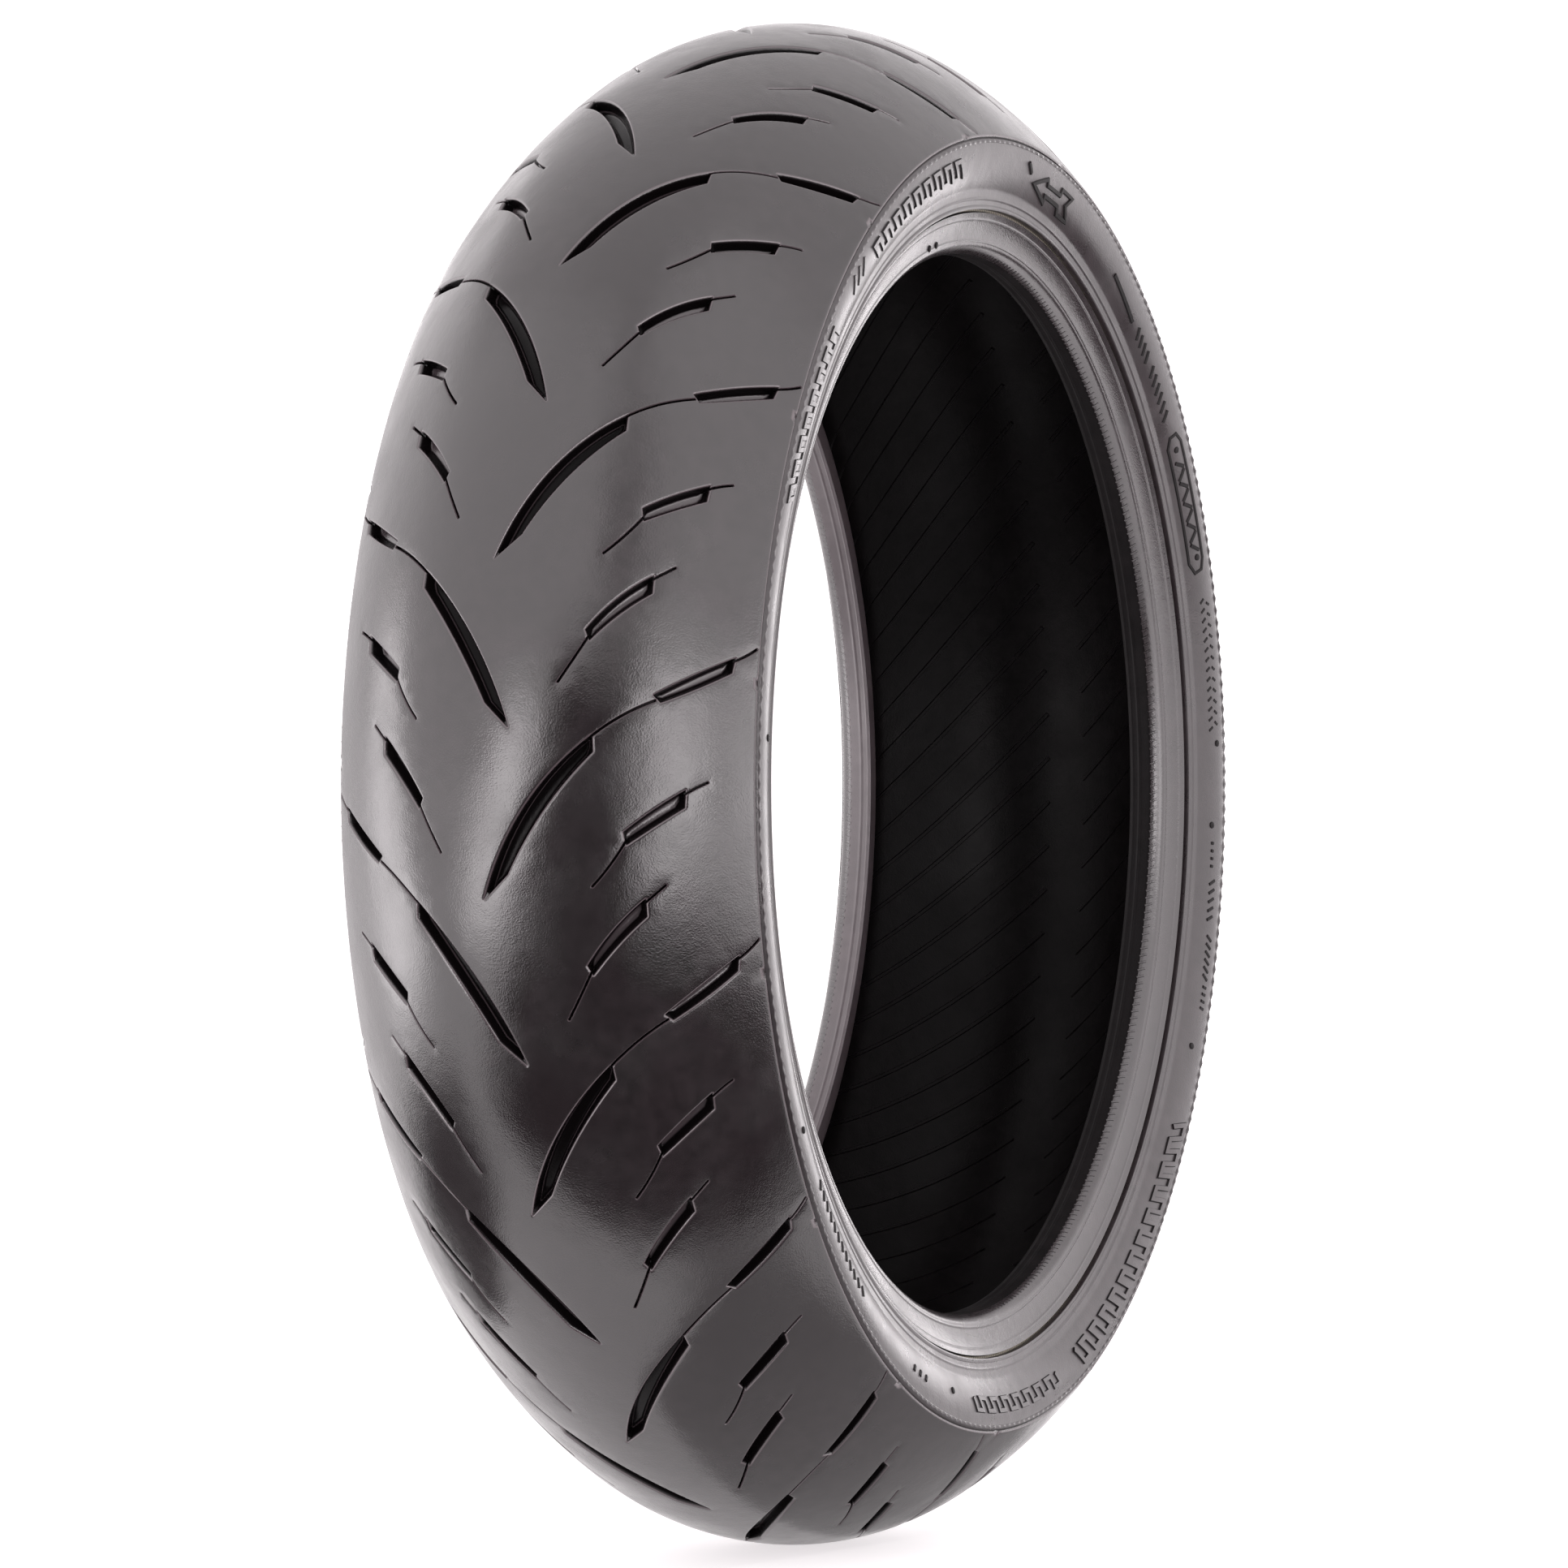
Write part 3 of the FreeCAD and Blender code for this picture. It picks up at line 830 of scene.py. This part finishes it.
def tread_rubber():
    """Painted highlight: lighter on the rounded groove edges, where light would catch them. Painted
    shade: near black on the groove walls and deep floors, where the gloss is turned down too. Lighter
    and glossier on the floors of the shallow grooves. Depth is in mm.
    """
    shader, colour, roughness, normal = rubber("tread_rubber", 0.012, 0.022, 0.15, 0.30)
    attribute = shader.add("Attribute")
    attribute.attribute_name = "depth"
    depth = attribute.outputs["Fac"]
    # Painted highlight: the rounded groove edges are made lighter.
    rising = shader.spread(depth, 0, 1, 0.03, 0.25)
    falling = shader.spread(depth, 1, 0, 0.35, 0.8)
    painted_edge_highlight = shader.multiply(rising, falling)
    # Painted shade: the grooves are made near black from half a millimetre down.
    inside = shader.spread(depth, 0, 1, 0.5, 1.5)
    colour = shader.mix(painted_edge_highlight, colour, grey(0.07))
    colour = shader.mix(inside, colour, grey(0.003))
    reached = shader.spread(depth, 0, 1, SHALLOW_DEPTH - 0.4, SHALLOW_DEPTH - 0.05)
    passed = shader.spread(depth, 1, 0, SHALLOW_DEPTH + 0.1, SHALLOW_DEPTH + 0.5)
    shallow_floor = shader.multiply(reached, passed)
    colour = shader.mix(shallow_floor, colour, grey(0.045))
    gloss = shader.spread(depth, 0.5, 0.04, 0.5, 1.5)
    gloss = shader.mix(shallow_floor, gloss, (0.45, 0.45, 0.45, 1.0))
    return shader.finish(Base_Color=colour, Roughness=roughness, Normal=normal, Specular_IOR_Level=gloss)


def plain_rubber(name, dark, light, rough_low, rough_high, gloss=1.8):
    shader, colour, roughness, normal = rubber(name, dark, light, rough_low, rough_high, gloss)
    return shader.finish(Base_Color=colour, Roughness=roughness, Normal=normal)


# Sidewalls

SIDEWALL = sidewall_profile()
RING_COLUMNS = 480
SCALLOPS = 300
SCALLOP_RISE = 0.38
SCALLOP_SWING = 0.8  # share of its height that the trim rib gains and loses
TRIM_SECTION = ((1.5, -1.0), (1.8, 0.6), (2.3, 1.0), (2.8, 0.6), (3.1, -1.0))
SIDEWALL_ROOT = ((257.4, 81.0), (260.9, 85.3))  # in the gap beside the tread
GAP_WALL = ((0.7, -1.2), (1.2, -0.5))  # (place, height) on the gap's slope
GAP_END = 1.6
RIM_LINE_TOP = ((233.9, 80.9), (233.1, 80.9))
SIDEWALL_BACK = (
    (233.3, 77.2), (241.0, 76.9), (246.0, 78.1),
    (252.8, 77.6), (260.4, 73.6), (262.8, 76.2),
)
SIDEWALL_RIDGES = ((26.4, 0.3, 0.4),)
NOTCH_FLOOR = 78.2  # side of the bottom of the shadow groove under the rim line
NOTCH_WIDTH = 1.5


def sidewall_outline():
    """Closed outline: the shadow gap beside the tread, the visible face, the rim line, the back."""
    outline = list(SIDEWALL_ROOT)
    outline += [tuple(SIDEWALL.spot(place, lift)) for place, lift in GAP_WALL]
    outline += SIDEWALL.stretch(GAP_END, SIDEWALL.length, SIDEWALL_RIDGES)
    outline += [*RIM_LINE_TOP, RIDGE_LOW, (RIDGE_FOOT[0], NOTCH_FLOOR)]
    return outline + list(SIDEWALL_BACK)


def trim_rib():
    """The finely scalloped rib that the mould leaves beside the tread's edge."""
    columns = SCALLOPS * 4
    turns = ring_turns(columns)
    height = SCALLOP_RISE * (1 + SCALLOP_SWING * np.cos(np.radians(turns) * SCALLOPS))
    places, lifts = np.array(TRIM_SECTION).T
    radius, side = SIDEWALL.spot(places[None], lifts[None] * height)
    verts = turn_round(radius, side, turns)
    return verts.reshape(-1, 3), [(ring_faces(columns, len(places)), 0)]


def meander(start, end, count, low, high, lean, width, rise=0.55):
    """A leaning square wave: one long raised line that runs up, along, down and along again."""
    step = (end - start) / (2 * count)
    path = []
    for number in range(2 * count):
        turn = start + number * step
        leg = [(turn, low), (turn + lean, high)]
        path += leg if number % 2 == 0 else leg[::-1]
    return [(path, False, width, rise)]


def ticks(start, end, count, low, high, lean, width=1.2, rise=0.45, weave=False):
    """A row of short leaning dashes, which lean both ways in turn where they weave."""
    rows = []
    for number, turn in enumerate(np.linspace(start, end, count)):
        tilt = -lean if weave and number % 2 else lean
        rows.append(([(turn - tilt / 2, low), (turn + tilt / 2, high)], False, width, rise))
    return rows


NARROW_MARK = 1.5  # marks up to this wide get the dark mark finish all over, painted shade for their dark outlines
ROTATION_ARROW = (
    (97.6, 247.6), (100.6, 252.2), (100.9, 250.0), (104.2, 250.0), (104.4, 252.6), (107.0, 252.6),
    (106.0, 248.0), (107.4, 243.4), (105.0, 243.2), (104.4, 245.8), (101.0, 245.8), (101.2, 243.4),
)
INFO_FRAME = (
    (144.2, 243.6), (157.2, 243.4), (158.4, 246.0), (158.3, 250.4),
    (157.2, 252.4), (144.4, 252.6), (143.3, 250.4), (143.2, 246.0),
)


def sidewall_marks():
    """Plain raised marks in the places of a tire's lettering, as (path, closed, width, rise)."""
    marks = [(ROTATION_ARROW, True, 1.4, 0.7), (INFO_FRAME, True, 1.0, 0.45)]
    marks += [(((95.5, 254.6), (96.4, 250.8)), False, 1.5, 0.7)]
    marks += [(((120.8, 248.4), (127.7, 246.2)), False, 1.5, 0.6)]
    marks += ticks(129.6, 132.9, 4, 244.6, 248.8, -0.8)
    marks += ticks(134.9, 140.6, 6, 244.6, 248.8, -0.8)
    marks += ticks(146.6, 155.8, 9, 245.8, 250.4, 0.9, weave=True)
    marks += ticks(161.5, 174.5, 14, 247.0, 249.2, -0.3, 0.8, 0.3)
    marks += ticks(162.0, 174.0, 12, 251.0, 252.8, 0.3, 0.8, 0.3)
    marks += ticks(185.9, 188.2, 4, 248.4, 249.8, 0, 0.9, 0.4)
    marks += ticks(189.8, 193.4, 5, 248.4, 252.0, -0.5, 0.9, 0.4)
    marks += ticks(195.4, 199.4, 6, 249.4, 252.8, 0.4, 0.9, 0.4)
    marks += ticks(200.4, 202.6, 4, 250.4, 252.8, 0, 0.9, 0.4)
    marks += meander(216.3, 252.8, 12, 247.2, 254.6, -1.3, 1.9, 0.8)
    marks += meander(257.0, 279.6, 8, 248.6, 253.4, -0.6, 1.6)
    marks += ticks(290.5, 293.5, 3, 249.8, 252.2, 0.3)
    marks += meander(56.6, 80.6, 9, 247.2, 254.2, -1.2, 1.8, 0.7)
    marks += ticks(49.8, 52.6, 3, 249.8, 256.4, 0.8, 1.8)
    marks += meander(26.0, 45.6, 8, 248.6, 255.2, -1.0, 1.7)
    marks += ticks(308.0, 322.0, 12, 248.2, 251.8, -0.4)
    return marks


NUB_PLACES = (
    (144.9, 248.2), (156.9, 248.6), (176.0, 252.2), (184.1, 248.3),
    (206.9, 248.6), (283.4, 248.7), (328.5, 252.8), (4.0, 250.0),
)


def make_sidewalls():
    """The left sidewall with its marks and vents, and the right one as its mirror image."""
    # The second rubber is painted shade: it darkens the steep sides of the marks, the narrow marks all
    # over, and the vent stubs.
    rubbers = [
        plain_rubber("sidewall_rubber", 0.022, 0.04, 0.24, 0.36),
        plain_rubber("mark_painted_shade_rubber", 0.005, 0.01, 0.5, 0.6, 1.35),
    ]
    blocks = [ring_block(sidewall_outline(), RING_COLUMNS), trim_rib()]
    for path, closed, width, rise in sidewall_marks():
        laid = [(turn, SIDEWALL.place_at(radius)) for turn, radius in path]
        top_finish = 0 if width > NARROW_MARK else WALL_FINISH
        blocks.append(raised_line(laid, width, rise, SIDEWALL.spot, closed, top_finish))
    blocks += [nub(turn, SIDEWALL.place_at(radius), SIDEWALL.spot) for turn, radius in NUB_PLACES]
    make_both_sides("sidewall_", blocks, {"left": rubbers, "right": rubbers})


# Beads

BEAD = bead_profile()
BEAD_RIDGES = ((4.6, 0.2, 0.4), (13.6, 0.2, 0.4))
SEAT_RIDGES = ((BEAD.length - 4.0, 0.35, 0.5), (BEAD.length - 0.9, 0.25, 0.3))
SEAT_START = BEAD.length - (SEAT_OUTER[1] - SEAT_INNER[1]) - 0.6
TOE_BACK = ((215.2, 60.2), (221.98, 61.39), (224.54, 61.84), (226.9, 62.6), (228.8, 63.83))
CUSHION_BACK = (
    (228.9, 64.9), (222.0, 62.9), (217.6, 63.6), (217.3, 69.3),
    (219.0, 71.9), (226.0, 73.8), (232.2, 77.0),
)
HEEL_TICKS = 420
HEEL_TICK_REACH = 2.6
HEEL_TICK_END = 0.3  # how far it runs onto the seat
HEEL_TICK_LEAN = 0.3
HEEL_TICK_WIDTH = 0.7
HEEL_TICK_RISE = 0.18
FLANGE_VENTS = ((75.4, 221.0), (77.4, 221.0))


def make_rim_cushions():
    """The rubber that touches the rim: a glossy flange and heel, and a seat that is near black on the
    left, painted shade, and lighter and glossier on the right, a painted sheen.
    """
    flange_rubber = plain_rubber("bead_rubber", 0.02, 0.036, 0.2, 0.3, 1.95)
    painted_shade_seat_rubber = plain_rubber("bead_seat_painted_shade_rubber", 0.004, 0.008, 0.4, 0.55, 1.22)
    painted_sheen_seat_rubber = plain_rubber("bead_seat_painted_sheen_rubber", 0.06, 0.09, 0.35, 0.5, 1.9)
    # Lit and shaded copies of one seat rubber: painted shade on the left, painted sheen on the right.
    # The heel ticks and vent stubs take them too.
    rubbers = {"left": [flange_rubber, painted_shade_seat_rubber], "right": [flange_rubber, painted_sheen_seat_rubber]}
    flange = BEAD.stretch(NOTCH_WIDTH, SEAT_START, BEAD_RIDGES)
    seat = BEAD.stretch(SEAT_START, BEAD.length, SEAT_RIDGES)[1:]
    outline = [(RIDGE_FOOT[0] - NOTCH_WIDTH, NOTCH_FLOOR), *flange, *seat]
    outline += TOE_BACK + CUSHION_BACK
    finishes = [0] * len(flange) + [1] * (len(outline) - len(flange))
    blocks = [ring_block(outline, RING_COLUMNS, finishes)]
    low, high = SEAT_START - HEEL_TICK_REACH, SEAT_START + HEEL_TICK_END
    for turn in np.arange(HEEL_TICKS) * 360.0 / HEEL_TICKS:
        path = [(turn, low), (turn + HEEL_TICK_LEAN, high)]
        blocks.append(raised_line(path, HEEL_TICK_WIDTH, HEEL_TICK_RISE, BEAD.spot))
    blocks += [nub(turn, BEAD.place_at(radius), BEAD.spot) for turn, radius in FLANGE_VENTS]
    make_both_sides("rim_cushion_", blocks, rubbers)


# Inner liner

CAVITY = cavity_profile(CAVITY_DEPTH)
LINER_COLUMNS = 360
LINER_STEP = 2.4
LINER_BACK_STEP = 6.0
RIBS = 96
RIB_START = 8.0
RIB_END = 92.0
RIB_LEAN = -0.19  # degrees round to a millimetre across
RIB_WIDTH = 1.2
RIB_RISE = 0.7
RIB_OFFSET = 0.3  # how far the right half's ribs are ahead, as a share of their spacing


def cavity_spot(across, lift):
    """A point on the cavity's surface, on either half of the tire."""
    radius, side = CAVITY.spot(np.abs(across), lift)
    return radius, np.copysign(side, across)


def liner_outline():
    """Closed outline: the cavity's surface from bead to bead, and the liner's back."""
    inner = CAVITY.stretch(0.0, CAVITY.length, (), LINER_STEP)
    outer = cavity_profile(CAVITY_DEPTH - LINER_THICKNESS)
    outer = outer.stretch(0.0, outer.length, (), LINER_BACK_STEP)
    outline = inner[:0:-1] + [(radius, -side) for radius, side in inner]
    return outline + [(radius, -side) for radius, side in outer[::-1]] + outer[1:]


def make_liner():
    """The airtight lining, with the leaning vent ribs that the curing bladder leaves."""
    blocks = [ring_block(liner_outline(), LINER_COLUMNS)]
    for number in range(RIBS):
        for sign, ahead in ((-1, 0.0), (1, RIB_OFFSET)):
            turn = (number + ahead) * 360.0 / RIBS
            ends = (sign * RIB_START, sign * RIB_END)
            path = [(turn + RIB_LEAN * across, across) for across in ends]
            blocks.append(raised_line(path, RIB_WIDTH, RIB_RISE, cavity_spot))
    rubbers = [
        plain_rubber("liner_rubber", 0.002, 0.005, 0.28, 0.42, 1.17),
        plain_rubber("liner_rib_side_rubber", 0.004, 0.008, 0.25, 0.4, 1.6),
    ]
    verts, faces, finishes = merged(blocks)
    piece = new_piece("inner_liner_ribbed", verts, faces, rubbers, finishes)
    stand_in(piece, "inner_liner")


# Hidden layers keep their CAD shape and get their real finish

WAVE_RATE = 20  # radians to a metre in the wave texture, at a scale of 1
NYLON = (0.55, 0.5, 0.38)
RAYON = (0.42, 0.38, 0.3)
BRASS = (0.5, 0.36, 0.16)
CORD_LAYERS = (
    # node, material, lean in degrees, metres between cords, the cord's colour, the gum's grey
    ("breaker_belt_inner", "breaker_cord_inner", 25, 0.0012, BRASS, 0.015),
    ("breaker_belt_outer", "breaker_cord_outer", -25, 0.0012, BRASS, 0.015),
    ("jointless_belt", "jointless_cord", 0, 0.001, NYLON, 0.018),
    ("carcass_ply_outer", "ply_cord_outer", 85, 0.001, RAYON, 0.018),
    ("carcass_ply_inner", "ply_cord_inner", -85, 0.001, RAYON, 0.018),
)


def cord_fabric(name, angle, pitch, cord_colour, gum_colour):
    """Parallel cords in rubber, leaning by an angle to the tire's middle plane."""
    shader = Shader(name, roughness=0.6)
    mapping = shader.add("Mapping", Vector=shader.place, Rotation=(0, 0, math.radians(angle)))
    scale = math.tau / pitch / WAVE_RATE
    wave = shader.add("TexWave", Vector=mapping.outputs["Vector"], Scale=scale)
    cords = shader.spread(wave.outputs["Fac"], 0, 1)
    colour = shader.mix(cords, grey(gum_colour), (*cord_colour, 1.0))
    normal = shader.bump(wave.outputs["Fac"], 0.0003)
    return shader.finish(Base_Color=colour, Normal=normal)


def steel_wire():
    """Bronze-coated steel wire, with a drawn grain."""
    shader = Shader("bead_wire_steel", roughness=0.3, Metallic=1.0)
    tint = shader.spread(shader.noise(300.0), 0, 1)
    colour = shader.mix(tint, (0.55, 0.38, 0.22, 1.0), (0.72, 0.55, 0.36, 1.0))
    roughness = shader.spread(shader.noise(900.0), 0.22, 0.42)
    return shader.finish(Base_Color=colour, Roughness=roughness)


def finish_node(name, material):
    slots = frame["nodes"][name].data.materials
    slots.clear()
    slots.append(material)


def finish_hidden_layers():
    """Plain rubber, cord in rubber and wire for the layers that don't show."""
    base = plain_rubber("base_rubber", 0.016, 0.028, 0.45, 0.6)
    pairs = {
        "belt_edge_strip_": base,
        "bead_filler_": plain_rubber("filler_rubber", 0.014, 0.024, 0.4, 0.55),
        "bead_wrap_": cord_fabric("bead_wrap_fabric", 0, 0.0008, NYLON, 0.02),
        "chafer_": cord_fabric("chafer_fabric", 45, 0.001, NYLON, 0.02),
        "bead_wire_bundle_": steel_wire(),
    }
    finish_node("tread_base", base)
    for node, *fabric in CORD_LAYERS:
        finish_node(node, cord_fabric(*fabric))
    for name, material in pairs.items():
        finish_node(name + "left", material)
        finish_node(name + "right", material)


# Camera, floor and light

CAMERA_AZIMUTH = math.radians(112.66)
CAMERA_DISTANCE = 3.464
CAMERA_LENS = 194.4
CAMERA_SENSOR = 36.0
CAMERA_ASIDE = 0.0104  # how far it stands left of the wheel's centre
FLOOR_SIZE = 60.0
FLOOR_GLOW = 0.7
LIGHT_COLOUR = (1.0, 0.955, 0.97, 1.0)
SKY_LIGHT = 1.5

# Cards that shape the rubber's gloss: name, brightness, the axis it stands across, its place on
# that axis, and its corners' other two coordinates. The strips have the camera's left and right,
# the side lights the tire's.
FRONT = cad_high.x + 0.5
BEHIND = cad_high.x - 3.3
ON_FLOOR = cad_low.z + 0.002
CARDS = (
    ("dark_card", 0.0, "x", FRONT, ((-0.13, -0.31), (0.52, -0.31), (0.56, 0.2), (0.1, 0.22))),
    ("dim_card_low", 0.7, "x", FRONT, ((0.3, 0.22), (0.62, 0.21), (0.6, 1.0), (0.25, 1.0))),
    ("dim_card_high", 1.0, "x", FRONT, ((0.25, 1.0), (0.6, 1.0), (0.4, 2.6), (-0.1, 2.6))),
    ("dim_ceiling", 1.1, "z", 2.2, (
        (1.0, -0.4), (1.0, 0.5), (0.0, 0.8), (-0.5, 2.5),
        (-4.5, 2.5), (-4.5, -3.0), (0.0, -3.0), (0.6, -1.2),
    )),
    ("strip_light_left", 5.0, "x", FRONT, ((-0.6, -0.305), (-0.2, -0.25), (0.0, 0.13), (-0.15, 0.13))),
    ("strip_light_right", 4.6, "x", FRONT, ((0.6, -0.22), (1.1, -0.22), (1.15, 0.28), (0.6, 0.28))),
    ("dark_mat_ahead", 0.0, "z", ON_FLOOR, (
        (0.36, -0.05), (0.25, 0.14), (0.16, 0.32), (0.15, 0.62), (0.4, 0.74),
        (0.68, 0.92), (0.78, 0.78), (1.2, -0.22), (0.44, -0.22),
    )),
    ("dark_mat_right", 0.1, "z", ON_FLOOR, (
        (-0.03, -0.42), (0.06, -0.23), (0.18, -0.16), (0.33, -0.17),
        (0.42, -0.36), (0.26, -0.55), (0.04, -0.6),
    )),
    # Painted shade: stands in for the floor's contact shadow, as the rubber reflects it.
    ("painted_contact_shadow_card", 0.5, "z", ON_FLOOR, (
        (-0.2, 0.05), (0.06, 0.02), (0.2, 0.0), (0.25, 0.12),
        (0.2, 0.2), (0.05, 0.16), (-0.2, 0.14),
    )),
    ("dark_mat_behind", 0.0, "z", ON_FLOOR, (
        (-1.7, 0.25), (-2.3, 1.0), (-2.2, 1.5), (-1.4, 1.9),
        (-0.75, 1.6), (-0.3, 1.3), (-0.45, 0.75), (-0.9, 0.4),
    )),
    ("side_light_right", 4.3, "y", -0.8,
     ((0.1, -0.31), (0.56, -0.31), (0.36, 0.02), (0.3, 0.22), (0.16, 0.22))),
    ("side_light_left", 3.5, "y", 1.5, ((0.75, -0.31), (0.1, -0.31), (0.1, 0.35), (0.75, 0.35))),
    ("back_light", 4.7, "x", BEHIND, ((0.66, -0.31), (-2.2, -0.31), (-2.2, 0.6), (0.66, 0.6))),
)


def add_camera():
    """A level camera ahead of the tire, a little to its left."""
    back = Vector((math.sin(CAMERA_AZIMUTH), -math.cos(CAMERA_AZIMUTH), 0))
    right = Vector((math.cos(CAMERA_AZIMUTH), math.sin(CAMERA_AZIMUTH), 0))
    camera = add_object("camera", bpy.data.cameras.new("camera"))
    camera.data.lens = CAMERA_LENS
    camera.data.sensor_width = CAMERA_SENSOR
    camera.data.clip_end = 100.0
    camera.location = back * CAMERA_DISTANCE - right * CAMERA_ASIDE
    camera.rotation_euler = (-back).to_track_quat("-Z", "Y").to_euler()
    bpy.context.scene.camera = camera


def add_sheet(name, corners, material):
    """A flat sheet that isn't part of the tire."""
    mesh = bpy.data.meshes.new(name)
    mesh.from_pydata(corners, [], [range(len(corners))])
    mesh.materials.append(material)
    sheet = add_object(name, mesh)
    return sheet


def add_floor():
    shader = Shader("pale_floor", roughness=0.7)
    tint = shader.spread(shader.noise(3.0), 0, 1)
    colour = shader.mix(tint, (0.55, 0.55, 0.55, 1), (0.57, 0.57, 0.57, 1))
    shader.finish(Base_Color=colour, Emission_Color=LIGHT_COLOUR, Emission_Strength=FLOOR_GLOW)
    edge = FLOOR_SIZE / 2
    corners = [(x * edge, y * edge, cad_low.z) for x, y in ((-1, -1), (1, -1), (1, 1), (-1, 1))]
    add_sheet("floor", corners, shader.material)


def add_card(name, level, axis, place, corners):
    """A card that shows in the rubber's gloss, and neither in the picture nor as a shadow."""
    shader = Shader(name, roughness=1.0, Specular_IOR_Level=0.0)
    shader.finish(Base_Color=(0, 0, 0, 1), Emission_Color=LIGHT_COLOUR, Emission_Strength=level)
    before = "xyz".index(axis)
    corners = [(*corner[:before], place, *corner[before:]) for corner in corners]
    sheet = add_sheet(name, corners, shader.material)
    sheet.visible_camera = False
    sheet.visible_diffuse = False
    sheet.visible_shadow = False
    sheet.visible_transmission = False
    sheet.visible_volume_scatter = False


def add_sky():
    world = bpy.data.worlds.new("studio")
    world.use_nodes = True
    sky = world.node_tree.nodes["Background"].inputs
    sky["Color"].default_value = LIGHT_COLOUR
    sky["Strength"].default_value = SKY_LIGHT
    bpy.context.scene.world = world
    bpy.context.scene.view_settings.view_transform = "Standard"


add_camera()
add_floor()
add_sky()
for card in CARDS:
    add_card(*card)
make_tread()
make_sidewalls()
make_rim_cushions()
make_liner()
finish_hidden_layers()
